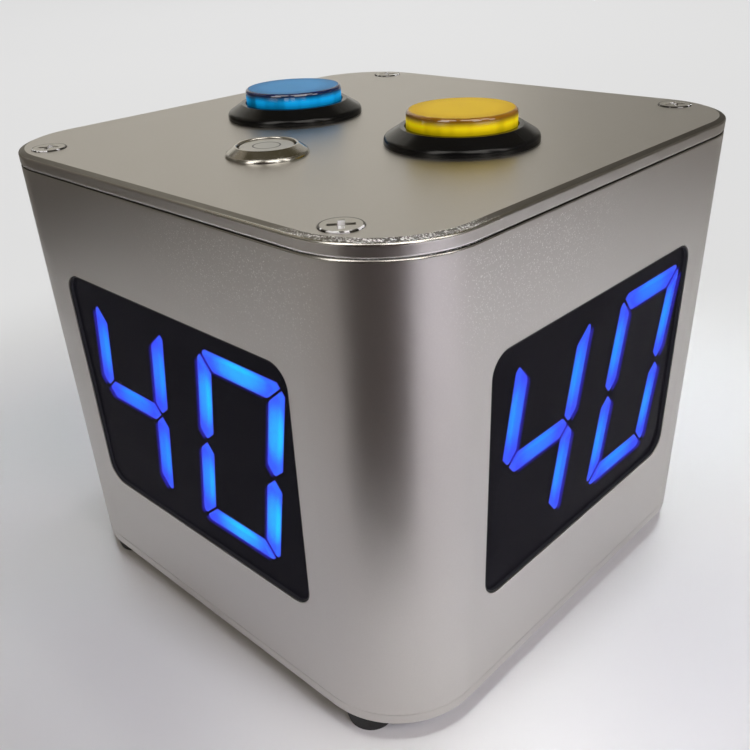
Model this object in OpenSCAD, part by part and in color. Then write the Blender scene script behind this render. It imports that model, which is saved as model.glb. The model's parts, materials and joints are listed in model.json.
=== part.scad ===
// Four-sided countdown timer: a square aluminium sleeve between two plates, a two-digit
// display on each side, two lit push-buttons and a metal power button on top.
// Millimetres, +Z up. The origin is at the middle of the surface that the feet stand on.

/* [Case] */
// Width and depth of the square sleeve
case_w = 128; // [124:1:150]
// Height of the sleeve between the two plates
sleeve_h = 102; // [98:1:140]
// Radius of the sleeve's upright corners
corner_r = 21; // [14:0.5:24]
// Wall thickness of the sleeve
wall = 2; // [1.5:0.1:3]
// Thickness of the top and bottom plates
plate_t = 3; // [2.5:0.1:5]
// Width of the bevel on the outer edge of each plate
bevel_w = 1.5; // [0.5:0.1:2.5]
// Height of that bevel
bevel_h = 0.5; // [0.4:0.1:1.6]
// Rounded edge where the sleeve meets the top plate, and under the top plate's bevel
edge_break = 0.5; // [0.1:0.05:0.6]
// Broken edge where the sleeve meets the bottom plate
base_break = 0.1; // [0.05:0.05:0.5]

/* [Case screws and feet] */
// Distance of the screw axes from the left and right faces
screw_inset_x = 16.9; // [14:0.1:20]
// Distance of the screw axes from the front and back faces
screw_inset_y = 7.2; // [6.8:0.1:8]
// Shank diameter of the case screws
screw_d = 4; // [3:0.1:4.5]
// Head diameter of the case screws
screw_head_d = 7.8; // [6.5:0.1:8.4]
// Shank length of the case screws inside the sleeve
screw_grip = 10; // [6:0.5:20]
// Diameter of a foot against the bottom plate
foot_d = 12.6; // [10.6:0.1:13]
// Diameter of a foot at the table
foot_tip_d = 10.4; // [9:0.1:12.5]
// Height of a foot
foot_h = 5; // [4.5:0.1:8]

/* [Displays] */
// Distance from the case's side to a window
window_side = 25.7; // [24:0.1:30]
// Distance from the sleeve's end to a window
window_end = 22.35; // [20:0.05:26]
// Corner radius of a window
window_r = 5; // [2:0.1:8]
// Thickness of the smoked window
window_t = 0.8; // [0.5:0.1:1.2]
// Depth of the window's face behind the sleeve's face
window_recess = 0.1; // [0.05:0.05:0.3]
// Distance from a window's edge to the top or foot of a digit
digit_end = 5.55; // [4:0.05:8]
// Share of a window's width that one digit takes across its upright strokes
digit_share = 0.35; // [0.28:0.01:0.36]
// Distance of the two digits apart beyond half a window
digit_spread = 0.5; // [-1:0.1:1]
// Height of the digits above the middle of the window
digit_rise = 0.85; // [-2:0.05:2]
// Distance of the digits to the right of the middle of the window
digit_shift = -0.3; // [-0.5:0.1:0.5]
// Width of a stroke
stroke = 4.7; // [3:0.1:5.5]
// Lean of the digits in degrees
lean = 10; // [0:0.5:12]
// Gap between neighbouring strokes
stroke_gap = 0.5; // [0.3:0.05:0.8]
// Cut-off at the outer corners of a digit
stroke_corner = 2.4; // [1:0.1:3]
// Digit shown on the left
tens_shown = 4; // [0:1:9]
// Digit shown on the right
units_shown = 0; // [0:1:7]
// Depth of a digit block from its face to its board
block_depth = 11; // [8:0.5:14]
// Shoulder of a digit block behind the sleeve's wall
block_shoulder = 2; // [1:0.1:2.2]

/* [Lit push-buttons] */
// Distance between the two lit buttons
button_pitch = 53.2; // [50:0.2:56]
// Outer diameter of a bezel
bezel_d = 33.6; // [32:0.1:36]
// Height of a bezel's inner rim above the plate
bezel_rim_h = 3.4; // [2.8:0.1:5]
// Height of a bezel's upright outer edge
bezel_lip_h = 1.3; // [0.6:0.1:2]
// Rounding of a bezel's outer edge
bezel_edge_r = 1.2; // [0.3:0.1:1.5]
// Diameter of the threaded barrel under a bezel
barrel_d = 27.2; // [27:0.1:29]
// Length of the barrel under the plate's top face
barrel_l = 26; // [24:0.5:32]
// Diameter of a cap
cap_d = 23.8; // [22:0.1:24]
// Height of a cap above the plate
cap_rise = 6.7; // [6:0.1:9]
// Travel of a cap
cap_travel = 2.2; // [1.2:0.1:2.4]
// Rounding of a cap's upper edge
cap_edge_r = 0.8; // [0.3:0.1:1.4]

/* [Power button] */
// Distance of the power button's axis from the front face
power_setback = 32; // [28:0.5:36]
// Overhang of the power button's head round its barrel
power_flange = 1.1; // [0.9:0.05:2]
// Height of the bevelled head
power_head_h = 2.1; // [1.8:0.1:2.6]
// Diameter of the pressed face
power_cap_d = 11.8; // [10:0.1:12.4]
// Height of the pressed face above the plate
power_rise = 1.75; // [1.5:0.05:3]
// Travel of the pressed face
power_travel = 2.5; // [1:0.1:2.8]
// Diameter of the threaded barrel
power_barrel_d = 15.8; // [15.4:0.1:16]
// Length of the barrel under the plate's top face
power_barrel_l = 18; // [16:0.5:24]

/* [Boards and battery] */
// Thickness of every circuit board
board_t = 1.6; // [1:0.1:2]
// Width of the main board, left to right
main_w = 40; // [38:0.5:41]
// Length of the main board, front to back
main_l = 92; // [88:0.5:94]
// Height of the main board's standoffs
standoff_h = 4; // [3:0.5:5]
// Diameter of a battery cell
cell_d = 18.4; // [17:0.1:19]
// Length of a battery cell
cell_l = 65; // [60:0.5:68]
// Wall of the battery holder
holder_wall = 1.5; // [1:0.1:2]

/* [Hidden] */
$fn = 64;

// Clearances: beside a moving piece, round a snug piece, in a running bore and at a screw's thread
slide_gap = 0.3;
snug = 0.1;
running = 0.08;
thread_gap = 0.05;
// Overshoot of a cut past the face it opens
cut = 1;

// Heights and half width of the case
floor_z = foot_h + plate_t;
sleeve_top = floor_z + sleeve_h;
plate_top = sleeve_top + plate_t;
half_w = case_w / 2;

// Rounded edges: facets of each, and the radius at the top joint and on a bezel
soft_steps = 6;
joint_r = min(edge_break, (plate_t - bevel_h) / 3);
lip_r = min(bezel_edge_r, bezel_lip_h);

// Case screws: their axes, countersink, raised head, cross recess and the ports in the sleeve
screw_x = half_w - screw_inset_x;
screw_y = half_w - screw_inset_y;
cone_h = (screw_head_d - screw_d) / 2;
head_rise = 0.25;
head_break = 0.12;
cross_share = 0.6;
cross_w = 1.2;
cross_depth = 1.1;
cross_turn = 45;
port_wall = 2.2;
port_r = screw_d / 2 + port_wall;
port_neck = 5;
hole_r = screw_d / 2 + 2 * snug;
pan_head_h = 2.2;
pan_room = 0.8;
foot_recess = pan_head_h + pan_room;

// Small screws on the main board and the holes they turn into
board_screw_d = 3;
board_screw_head_d = 5.6;
board_screw_head_h = 1.8;
board_screw_l = 3.6;
standoff_d = 6;
standoff_inset = 4;

// Displays, on faces 0 front, 1 right, 2 back and 3 left: the window, the digits and each layer's depth
window_z = floor_z + sleeve_h / 2;
window_w = case_w - 2 * window_side;
window_h = sleeve_h - 2 * window_end;
digit_h = window_h - 2 * digit_end;
digit_w = window_w * digit_share;
digit_pitch = window_w / 2 + digit_spread;
block_front = window_recess + window_t;
block_back = block_front + block_depth;
stack_back = block_back + board_t;
board_w = window_w + 2 * block_shoulder;
board_h = window_h + 2 * block_shoulder;

// Strokes of a numeral: a is at the top, b to f go round clockwise, g is in the middle
STROKES = ["a", "b", "c", "d", "e", "f", "g"];
LIT = ["abcdef", "bc", "abdeg", "abcdg", "bcfg", "acdfg", "acdefg", "abc", "abcdefg", "abcdfg"];
SHOWN = [tens_shown, units_shown];

// Plugs and ribbon cables between the display boards and the main board
plug_w = 14;
plug_h = 6;
plug_d = 5;
plug_drop = board_h / 2 - plug_h;
ribbon_w = 11;
ribbon_t = 0.9;
ribbon_bend = 3;
ribbon_z = window_z - plug_drop;
driver = [16, 8, 2.4];

// Main board: its place between the left screw ports and the back wall, and what stands on it
main_gap = 0.9;
main_back_gap = 0.5;
main_x = -(screw_x - port_r - main_gap) + main_w / 2;
main_y = half_w - wall - main_back_gap - main_l / 2;
main_z = floor_z + standoff_h;
main_top = main_z + board_t;
processor = [14, 14, 1.6];
capacitor_d = 8;
capacitor_h = 11;
buzzer_d = 12;
buzzer_h = 9.5;
buzzer_vent_d = 2.4;

// Places on the main board, as shares of its width and length from its middle
PLUG_PLACES = [[0, -0.42], [0.33, -0.09], [0, 0.21], [-0.33, -0.22]];
processor_place = [-0.05, 0.02];
capacitor_place = [-0.3, 0.2];
buzzer_place = [0.33, -0.28];
MAIN_PLUGS = [for (place = PLUG_PLACES) on_board(place)];

// Charging inlet: a board socket whose nose shows in a hole in the back of the sleeve
inlet_body = [9, 12, 11];
inlet_axis_h = 6.5;
inlet_axis = main_top + inlet_axis_h;
inlet_nose_d = 8;
inlet_bore_d = 5.7;
inlet_bore_l = 9.5;
inlet_pin_d = 2;
inlet_pin_l = 8.5;
inlet_sink = 0.3;
inlet_nose_y = half_w - inlet_sink;
inlet_front = half_w - wall - snug;

// Battery: two cells side by side in a tray
cell_nub_d = 6;
cell_nub_h = 1.2;
contact_room = 2;
trough_r = cell_d / 2 + snug;
tray_w = 4 * trough_r + 3 * holder_wall;
tray_l = cell_l + cell_nub_h + 2 * (holder_wall + contact_room);
tray_rise = 4;
tray_gap = 4;
tray_h = holder_wall + cell_d / 2 + tray_rise;
tray_x = main_x + main_w / 2 + tray_gap + tray_w / 2;
cell_z = floor_z + holder_wall + trough_r;
cell_off = trough_r + holder_wall / 2;

// Lit buttons, heights from the top face of the plate: housing and nut
bore_r = cap_d / 2 + slide_gap;
rim_w = 1.1;
rim_r = bore_r + rim_w;
barrel_r = barrel_d / 2;
barrel_floor_t = 2;
barrel_floor = -barrel_l + barrel_floor_t;
nut_w = 3.4;
nut_r = barrel_r + nut_w;
nut_h = 6;
nut_grips = 12;
nut_grip_r = 1.6;

// Cap and plunger
cap_wall = 1.2;
cap_top_t = 1.6;
cap_l = 14;
cap_end = cap_rise - cap_l;
cap_inside = cap_rise - cap_top_t;
plunger_r = cap_d / 2 - cap_wall - snug;
plunger_wall = 1.2;
diffuser_t = 1.5;
seat_t = 2;
seat_z = cap_end - seat_t;
seat_in_r = 5.7;
leg_t = 2;
leg_w = 5;
leg_inset = 0.6;
leg_out = bore_r - leg_inset;
leg_in = leg_out - leg_t;
leg_mid = leg_out - leg_t / 2;
leg_gap = 0.4;
leg_reach = 3;
leg_end = -barrel_l - leg_reach;
hook_w = 0.9;
hook_h = 1.4;
hook_z = -barrel_l - slide_gap;

// Lamp and the holder that carries it and the switch
lamp_r = 4.6;
lamp_past_seat = 3;
lamp_top = seat_z + lamp_past_seat;
lamp_gap = 0.6;
lamp_hole_r = lamp_r + lamp_gap;
wedge = [2.4, 8.6, 10];
holder_disc_t = 3;
switch_plate_t = 1.2;
socket_l = 13;
socket_h = 12;

// Snap switch: body, pin, pegs and blades
switch_size = [10.3, 27.8, 15.9];
switch_shift = 4.2;
stop_gap = 0.4;
switch_top = leg_end - cap_travel - stop_gap;
switch_near = leg_mid - switch_size[0] / 2;
switch_mid_z = switch_top - switch_size[2] / 2;
peg_d = 2.9;
PEGS = [[-11.1, -5.15], [11.1, 5.15]];
pin_r = 1.6;
pin_top = leg_end - snug;
pin_l = 7;
pin_hole_end = pin_top - pin_l - cap_travel - stop_gap;
blade = [0.8, 6.3, 8];
blade_pitch = 9;

// Return springs: mean radius, wire and turns
button_spring_r = 7.2;
button_spring_wire = 0.9;
button_spring_turns = 5;
power_spring_r = 4.2;
power_spring_wire = 0.6;
power_spring_turns = 5;
spring_sides = 6;
spring_rings = 8;

// Power button, heights from the top face of the plate
power_y = -half_w + power_setback;
power_bore_r = power_cap_d / 2 + running;
power_barrel_r = power_barrel_d / 2;
power_head_r = power_barrel_r + power_flange;
power_lip_h = 0.45;
power_bulge = 30;
bulge_steps = 10;
power_mouth_w = 0.25;
power_mouth_h = 1;
power_rim_w = 0.25;
power_rim_r = 0.22;
power_crest_r = power_bore_r + power_mouth_w + power_rim_w;
seal_t = 0.7;
seal_land = 0.25;
seal_rim = 0.3;
seal_in = power_barrel_r + seal_land;
seal_out = power_head_r - seal_rim;
power_plug_l = 5;
power_base_h = 6;
power_base_top = -power_barrel_l + power_plug_l;
power_spring_l = 8;
power_cap_bottom = power_base_top + power_spring_l;
power_stem_r = 2.4;
power_stem_end = power_base_top + power_travel + stop_gap;
power_chamfer = 0.2;
power_nut_af = 19;
power_nut_h = 3;
power_blade = [2, 0.5, 6];
power_blade_ring = 4.4;
power_blades = 5;

// Colours
silver = "#b4aea6";
black = "#161618";
white = "#e9e7e0";
board_green = "#1f5a3a";
steel = "#c9c9cc";
lit_blue = "#2f7dff";
cap_blue = "#1c7fc4";
cap_yellow = "#e2b51c";

// Rounded rectangle about the origin
module rounded_rect(w, h, r) {
    square([w - 2 * r, h], center = true);
    square([w, h - 2 * r], center = true);
    for (x = [-1, 1], y = [-1, 1])
        translate([x * (w / 2 - r), y * (h / 2 - r)])
            circle(r);
}

// Points of an arc of radius r that rounds the corner q of an outline which runs from p to n
function soft_corner(p, q, n, r) =
    let (
        u = (p - q) / norm(p - q),
        v = (n - q) / norm(n - q),
        half = acos(u * v) / 2,
        middle = q + (u + v) / norm(u + v) * r / sin(half),
        first = q + u * r / tan(half) - middle,
        last = q + v * r / tan(half) - middle,
        start = atan2(first[1], first[0]),
        sweep = atan2(first[0] * last[1] - first[1] * last[0], first * last)
    )
    [
        for (i = [0:soft_steps])
            let (a = start + sweep * i / soft_steps)
            middle + r * [cos(a), sin(a)]
    ];

// Square block with round upright corners, whose edge follows [inset, height] points from bottom to top
module edged_block(w, r, edge) {
    straight = w / 2 - r;
    low = edge[0][1];
    high = edge[len(edge) - 1][1];
    section = concat([[0, low]], [for (p = edge) [r - p[0], p[1]]], [[0, high]]);
    translate([-straight, -straight, low])
        cube([2 * straight, 2 * straight, high - low]);
    for (turn = [0:90:270])
        rotate(turn)
            translate([straight, straight, 0]) {
                rotate_extrude(angle = 90)
                    polygon(section);
                rotate([90, 0, 0])
                    linear_extrude(2 * straight)
                        polygon(section);
            }
}

// Copies at the four case screws
module at_screws() {
    for (x = [-1, 1], y = [-1, 1])
        translate([x * screw_x, y * screw_y, 0])
            children();
}

// Frame of one face of the sleeve: X along the face, Y up from the window's middle, Z outwards
module on_face(k, depth) {
    rotate(90 * k)
        translate([0, depth - half_w, window_z])
            rotate([90, 0, 0])
                children();
}

// Frame of a lit button on the plate's top face, with the switch on its inner side
module at_button(side) {
    translate([side * button_pitch / 2, 0, plate_top])
        rotate(side < 0 ? 180 : 0)
            children();
}

// Frame of the power button on the plate's top face
module at_power() {
    translate([0, power_y, plate_top])
        children();
}

// Cross recess cut down from z = 0 into a head of diameter d
module cross_recess(d) {
    for (turn = [cross_turn, cross_turn + 90])
        rotate(turn)
            translate([0, 0, (cut - cross_depth) / 2])
                cube([d * cross_share, cross_w, cross_depth + cut], center = true);
}

// Spherical dome of diameter d and height h on z = 0, with a thin foot below that joins it to its base
module dome(d, h) {
    ball = (d * d / 4 + h * h) / (2 * h);
    intersection() {
        translate([0, 0, h - ball])
            sphere(ball);
        translate([0, 0, -thread_gap])
            cylinder(h = h + thread_gap, d = d);
    }
}

// Pan-head screw with its head on z = 0 and its shank of length l below
module pan_screw(d, head_d, head_h, l) {
    difference() {
        union() {
            cylinder(h = head_h / 2, d = head_d);
            translate([0, 0, head_h / 2])
                dome(head_d, head_h / 2);
            translate([0, 0, -l])
                cylinder(h = l + head_h / 2, d = d);
        }
        translate([0, 0, head_h])
            cross_recess(head_d);
    }
}

// Helical spring standing on z = 0: one tube swept along the helix
module coil_spring(r, wire, h, turns) {
    n = spring_sides;
    rings = turns * spring_rings;
    rise = h - wire;
    points = [
        for (i = [0:rings], j = [0:n - 1])
            let (a = 360 * turns * i / rings, b = 360 * j / n, reach = r + wire / 2 * cos(b))
                [reach * cos(a), reach * sin(a), wire / 2 + rise * i / rings + wire / 2 * sin(b)]
    ];
    tube = [
        for (i = [0:rings - 1], j = [0:n - 1], half = [0, 1])
            let (a = i * n + j, b = i * n + (j + 1) % n)
                half == 0 ? [a, b, b + n] : [a, b + n, a + n]
    ];
    first_end = [for (j = [1:n - 2]) [0, j + 1, j]];
    last_end = [for (j = [1:n - 2]) [rings * n, rings * n + j, rings * n + j + 1]];
    polyhedron(points, concat(tube, first_end, last_end));
}

// Case

module body_sleeve() {
    inner = case_w - 2 * wall;
    color(silver)
        translate([0, 0, floor_z])
            difference() {
                union() {
                    difference() {
                        edged_block(case_w, corner_r, concat(
                            [[base_break, 0], [0, base_break]],
                            soft_corner([0, 0], [0, sleeve_h], [corner_r, sleeve_h], joint_r)
                        ));
                        translate([0, 0, -cut])
                            linear_extrude(sleeve_h + 2 * cut)
                                rounded_rect(inner, inner, corner_r - wall);
                    }
                    linear_extrude(sleeve_h)
                        screw_ports();
                }
                at_screws()
                    translate([0, 0, -cut])
                        cylinder(h = sleeve_h + 2 * cut, d = screw_d + 2 * thread_gap);
                translate([0, 0, -floor_z]) {
                    for (k = [0:3])
                        on_face(k, wall + cut)
                            linear_extrude(wall + 2 * cut)
                                rounded_rect(window_w, window_h, window_r);
                    inlet_axis_frame()
                        translate([0, 0, half_w - wall - cut])
                            cylinder(h = wall + 2 * cut, d = inlet_nose_d + 2 * slide_gap);
                }
            }
}

// Section of the four screw ports: a round column joined to the front or back wall by a neck
module screw_ports() {
    outline = case_w - wall;
    intersection() {
        rounded_rect(outline, outline, corner_r - wall / 2);
        for (x = [-1, 1], y = [-1, 1])
            translate([x * screw_x, y * screw_y]) {
                circle(port_r);
                translate([0, y * screw_inset_y / 2])
                    square([port_neck, screw_inset_y], center = true);
            }
    }
}

module top_plate() {
    bevel_foot = [0, plate_t - bevel_h];
    bevel_end = [bevel_w, plate_t];
    color(silver)
        translate([0, 0, sleeve_top])
            difference() {
                edged_block(case_w, corner_r, concat(
                    soft_corner([corner_r, 0], [0, 0], [0, plate_t], joint_r),
                    soft_corner([0, 0], bevel_foot, bevel_end, joint_r),
                    [bevel_end]
                ));
                at_screws() {
                    translate([0, 0, -cut])
                        cylinder(h = plate_t + 2 * cut, r = hole_r);
                    translate([0, 0, plate_t - cone_h - snug])
                        cylinder(h = cone_h + snug, r1 = screw_d / 2, r2 = screw_head_d / 2 + snug);
                }
                for (side = [-1, 1])
                    translate([side * button_pitch / 2, 0, -cut])
                        cylinder(h = plate_t + 2 * cut, r = barrel_r + snug);
                translate([0, power_y, -cut])
                    cylinder(h = plate_t + 2 * cut, r = power_barrel_r + snug);
            }
}

module bottom_plate() {
    color(silver)
        translate([0, 0, foot_h])
            difference() {
                edged_block(case_w, corner_r, [
                    [bevel_w, 0], [0, bevel_h], [0, plate_t - base_break], [base_break, plate_t]
                ]);
                at_screws()
                    translate([0, 0, -cut])
                        cylinder(h = plate_t + 2 * cut, r = hole_r);
            }
}

// Raised countersunk screws through the top plate
module top_screws() {
    color(steel)
        translate([0, 0, plate_top])
            at_screws()
                difference() {
                    union() {
                        translate([0, 0, -cone_h])
                            cylinder(h = cone_h, d1 = screw_d, d2 = screw_head_d);
                        rotate_extrude()
                            polygon([
                                [0, -thread_gap], [screw_head_d / 2, -thread_gap],
                                [screw_head_d / 2, head_rise - head_break],
                                [screw_head_d / 2 - head_break, head_rise], [0, head_rise]
                            ]);
                        translate([0, 0, -plate_t - screw_grip])
                            cylinder(h = plate_t + screw_grip, d = screw_d);
                    }
                    translate([0, 0, head_rise])
                        cross_recess(screw_head_d);
                }
}

// Pan-head screws through the feet and the bottom plate
module bottom_screws() {
    color(steel)
        translate([0, 0, foot_recess])
            at_screws()
                rotate([180, 0, 0])
                    pan_screw(screw_d, screw_head_d, pan_head_h, floor_z - foot_recess + screw_grip);
}

module rubber_foot(x, y) {
    recess_r = screw_head_d / 2 + slide_gap;
    color(black)
        translate([x * screw_x, y * screw_y, 0])
            rotate_extrude()
                polygon([
                    [hole_r, foot_recess], [recess_r, foot_recess], [recess_r, 0],
                    [foot_tip_d / 2, 0], [foot_d / 2, foot_h], [hole_r, foot_h]
                ]);
}

// Displays

module smoked_window(k) {
    color(black, 0.8)
        on_face(k, block_front)
            linear_extrude(window_t)
                rounded_rect(window_w - 2 * snug, window_h - 2 * snug, window_r - snug);
}

// Outline of one stroke, drawn in by fit on every side, before it leans
function top_stroke(a, b, t, e, c) = [
    [-a + t + e, b - t], [-a + (c + e) / 2, b - (c - e) / 2], [-a + c, b],
    [a - c, b], [a - (c + e) / 2, b - (c - e) / 2], [a - t - e, b - t]
];
function side_stroke(a, b, t, e, c) = [
    [-a, b - c], [-a + (c - e) / 2, b - (c + e) / 2], [-a + t, b - t - e],
    [-a + t, e + t / 2], [-a + t / 2, e], [-a, e + t / 2]
];
function middle_stroke(a, t, e) = [
    [-a + t / 2 + e, 0], [-a + t + e, t / 2], [a - t - e, t / 2],
    [a - t / 2 - e, 0], [a - t - e, -t / 2], [-a + t + e, -t / 2]
];
function mirrored(points, x, y) = [for (p = points) [x * p[0], y * p[1]]];
function leaning(points) = [for (p = points) [p[0] + p[1] * tan(lean), p[1]]];
function stroke_outline(s, fit) =
    let (
        a = digit_w / 2 - fit,
        b = digit_h / 2 - fit,
        t = stroke - 2 * fit,
        e = stroke_gap / sqrt(2) + fit * sqrt(2),
        c = stroke_corner - fit * (2 - sqrt(2)),
        across = top_stroke(a, b, t, e, c),
        upright = side_stroke(a, b, t, e, c)
    )
    leaning(
        s == "a" ? across :
        s == "b" ? mirrored(upright, -1, 1) :
        s == "c" ? mirrored(upright, -1, -1) :
        s == "d" ? mirrored(across, 1, -1) :
        s == "e" ? mirrored(upright, 1, -1) :
        s == "f" ? upright : middle_stroke(a, t, e)
    );
function is_lit(numeral, s) = len(search(s, LIT[numeral])) > 0;

// One stroke of the left (0) or right (1) digit
module digit_stroke(place, s, fit) {
    translate([(place - 0.5) * digit_pitch + digit_shift, digit_rise])
        polygon(stroke_outline(s, fit));
}

// Two-digit block: its nose fills the window behind the lens and its shoulder bears on the wall
module digit_block(k) {
    color(black)
        difference() {
            union() {
                on_face(k, wall)
                    linear_extrude(wall - block_front)
                        rounded_rect(window_w - 2 * snug, window_h - 2 * snug, window_r - snug);
                on_face(k, block_back)
                    linear_extrude(block_back - wall)
                        rounded_rect(board_w, board_h, window_r);
            }
            for (place = [0, 1], s = STROKES)
                on_face(k, block_back + cut)
                    linear_extrude(block_depth + 2 * cut)
                        digit_stroke(place, s, 0);
        }
}

// Clear strokes cast into one face's digit block, either the lit ones or the dark ones
module strokes(k, lit) {
    for (place = [0, 1], s = STROKES)
        if (is_lit(SHOWN[place], s) == lit)
            on_face(k, block_back)
                linear_extrude(block_depth)
                    digit_stroke(place, s, thread_gap);
}

module lit_strokes(k) {
    color(lit_blue)
        strokes(k, true);
}

module dark_strokes() {
    color("#3a3d42")
        for (k = [0:3])
            strokes(k, false);
}

// Place on the main board that lies at given shares of its width and length
function on_board(place) = [main_x + place[0] * main_w, main_y + place[1] * main_l];

// Place of a main-board plug in the frame of face k
function in_face(p, k) = [[p[0], p[1]], [p[1], -p[0]], [-p[0], -p[1]], [-p[1], p[0]]][k];

module display_board(k) {
    plug_x = in_face(MAIN_PLUGS[k], k)[0];
    color(board_green) {
        on_face(k, stack_back)
            linear_extrude(board_t)
                rounded_rect(board_w, board_h, window_r);
        on_face(k, stack_back + plug_d)
            translate([plug_x - plug_w / 2, -plug_drop - plug_h / 2, 0])
                cube([plug_w, plug_h, plug_d + snug]);
        on_face(k, stack_back + driver[2])
            translate([-driver[0] / 2, -driver[1] / 2, 0])
                cube([driver[0], driver[1], driver[2] + snug]);
    }
}

// Ribbon from each display board's plug, level and then down into its plug on the main board
module display_ribbons() {
    color("#8c8c90")
        for (k = [0:3]) {
            end = in_face(MAIN_PLUGS[k], k);
            start = -half_w + stack_back + plug_d;
            corner = [end[1] - ribbon_bend, ribbon_z - ribbon_bend];
            low = main_top + plug_h;
            rotate(90 * k)
                translate([end[0], 0, 0])
                    rotate([90, 0, 90])
                        linear_extrude(ribbon_w, center = true)
                            ribbon_section(start, corner, low);
        }
}

// Section of a ribbon: a level run, a round bend about a centre and an upright run
module ribbon_section(start, centre, low) {
    half_t = ribbon_t / 2;
    translate([start, centre[1] + ribbon_bend - half_t])
        square([centre[0] - start, ribbon_t]);
    translate([centre[0] + ribbon_bend - half_t, low])
        square([ribbon_t, centre[1] - low]);
    translate(centre)
        intersection() {
            difference() {
                circle(ribbon_bend + half_t);
                circle(ribbon_bend - half_t);
            }
            square(2 * ribbon_bend);
        }
}

// Boards and battery

// Copies at the main board's four standoffs
module at_standoffs() {
    for (x = [-1, 1], y = [-1, 1])
        translate([main_x + x * (main_w / 2 - standoff_inset), main_y + y * (main_l / 2 - standoff_inset), 0])
            children();
}

module main_board() {
    color(board_green) {
        difference() {
            translate([main_x - main_w / 2, main_y - main_l / 2, main_z])
                cube([main_w, main_l, board_t]);
            at_standoffs()
                translate([0, 0, main_z - cut])
                    cylinder(h = board_t + 2 * cut, d = board_screw_d + 2 * snug);
        }
        translate([0, 0, main_top - snug]) {
            for (k = [0:3])
                translate(MAIN_PLUGS[k])
                    rotate(90 * k)
                        linear_extrude(plug_h + snug)
                            square([plug_w, plug_d], center = true);
            translate(on_board(processor_place))
                linear_extrude(processor[2] + snug)
                    square([processor[0], processor[1]], center = true);
            translate(on_board(capacitor_place))
                cylinder(h = capacitor_h + snug, d = capacitor_d);
        }
    }
}

module board_standoffs() {
    color(steel)
        at_standoffs()
            translate([0, 0, floor_z])
                difference() {
                    cylinder(h = standoff_h, d = standoff_d);
                    translate([0, 0, standoff_h + board_t - board_screw_l - snug])
                        cylinder(h = standoff_h, d = board_screw_d + 2 * thread_gap);
                }
}

module board_screws() {
    color(steel)
        at_standoffs()
            translate([0, 0, main_top])
                pan_screw(board_screw_d, board_screw_head_d, board_screw_head_h, board_screw_l);
}

module buzzer() {
    color(black)
        translate([0, 0, main_top])
            translate(on_board(buzzer_place))
                difference() {
                    cylinder(h = buzzer_h, d = buzzer_d);
                    translate([0, 0, buzzer_h / 2])
                        cylinder(h = buzzer_h, d = buzzer_vent_d);
                }
}

// Frame of the charging inlet: its axis along Z, which points out of the back
module inlet_axis_frame() {
    translate([main_x, 0, inlet_axis])
        rotate([-90, 0, 0])
            children();
}

module charging_inlet() {
    color(black) {
        difference() {
            union() {
                translate([main_x - inlet_body[0] / 2, inlet_front - inlet_body[1], main_top])
                    cube(inlet_body);
                inlet_axis_frame()
                    translate([0, 0, inlet_front - snug])
                        cylinder(h = inlet_nose_y - inlet_front + snug, d = inlet_nose_d);
            }
            inlet_axis_frame()
                translate([0, 0, inlet_nose_y - inlet_bore_l])
                    cylinder(h = inlet_bore_l + cut, d = inlet_bore_d);
        }
        inlet_axis_frame()
            translate([0, 0, inlet_nose_y - inlet_bore_l - snug])
                cylinder(h = inlet_pin_l + snug, d = inlet_pin_d);
    }
}

module battery_holder() {
    trough_l = tray_l - 2 * holder_wall;
    color(black)
        difference() {
            translate([tray_x - tray_w / 2, -tray_l / 2, floor_z])
                cube([tray_w, tray_l, tray_h]);
            for (side = [-1, 1])
                translate([tray_x + side * cell_off, 0, cell_z]) {
                    rotate([90, 0, 0])
                        cylinder(h = trough_l, r = trough_r, center = true);
                    translate([-trough_r, -trough_l / 2, 0])
                        cube([2 * trough_r, trough_l, cell_d]);
                }
        }
}

// Two cells, one each way round, bedded in the holder's troughs
module battery_cells() {
    color("#3b6ea8")
        for (side = [-1, 1])
            translate([tray_x + side * cell_off, 0, cell_z - snug])
                rotate([side * 90, 0, 0])
                    translate([0, 0, -(cell_l + cell_nub_h) / 2]) {
                        cylinder(h = cell_l, d = cell_d);
                        cylinder(h = cell_l + cell_nub_h, d = cell_nub_d);
                    }
}

// Lit push-buttons

// Openings for the plunger's legs, wide enough by gap on every side, reaching out to far
module leg_slots(gap, far, low, high) {
    for (turn = [0, 180])
        rotate(turn)
            translate([leg_in - gap, -leg_w / 2 - gap, low])
                cube([far - leg_in + gap, leg_w + 2 * gap, high - low]);
}

// Bezel and threaded barrel in one moulding, with a floor for the spring, lamp and legs
module button_bezel(side) {
    bezel_crest = [rim_r, bezel_rim_h];
    color(black)
        at_button(side)
            difference() {
                rotate_extrude()
                    polygon([
                        [lamp_hole_r, -barrel_l], [barrel_r, -barrel_l], [barrel_r, 0], [bezel_d / 2, 0],
                        each soft_corner([bezel_d / 2, 0], [bezel_d / 2, bezel_lip_h], bezel_crest, lip_r),
                        bezel_crest, [bore_r, bezel_rim_h],
                        [bore_r, barrel_floor], [lamp_hole_r, barrel_floor]
                    ]);
                leg_slots(leg_gap, leg_out + leg_gap, -barrel_l - cut, barrel_floor + cut);
            }
}

module button_nut(side) {
    color(black)
        at_button(side)
            translate([0, 0, -plate_t - nut_h])
                difference() {
                    cylinder(h = nut_h, r = nut_r);
                    translate([0, 0, -cut])
                        cylinder(h = nut_h + 2 * cut, r = barrel_r + thread_gap);
                    for (i = [0:nut_grips - 1])
                        rotate(360 * i / nut_grips)
                            translate([nut_r + nut_grip_r / 2, 0, -cut])
                                cylinder(h = nut_h + 2 * cut, r = nut_grip_r);
                }
}

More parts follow.
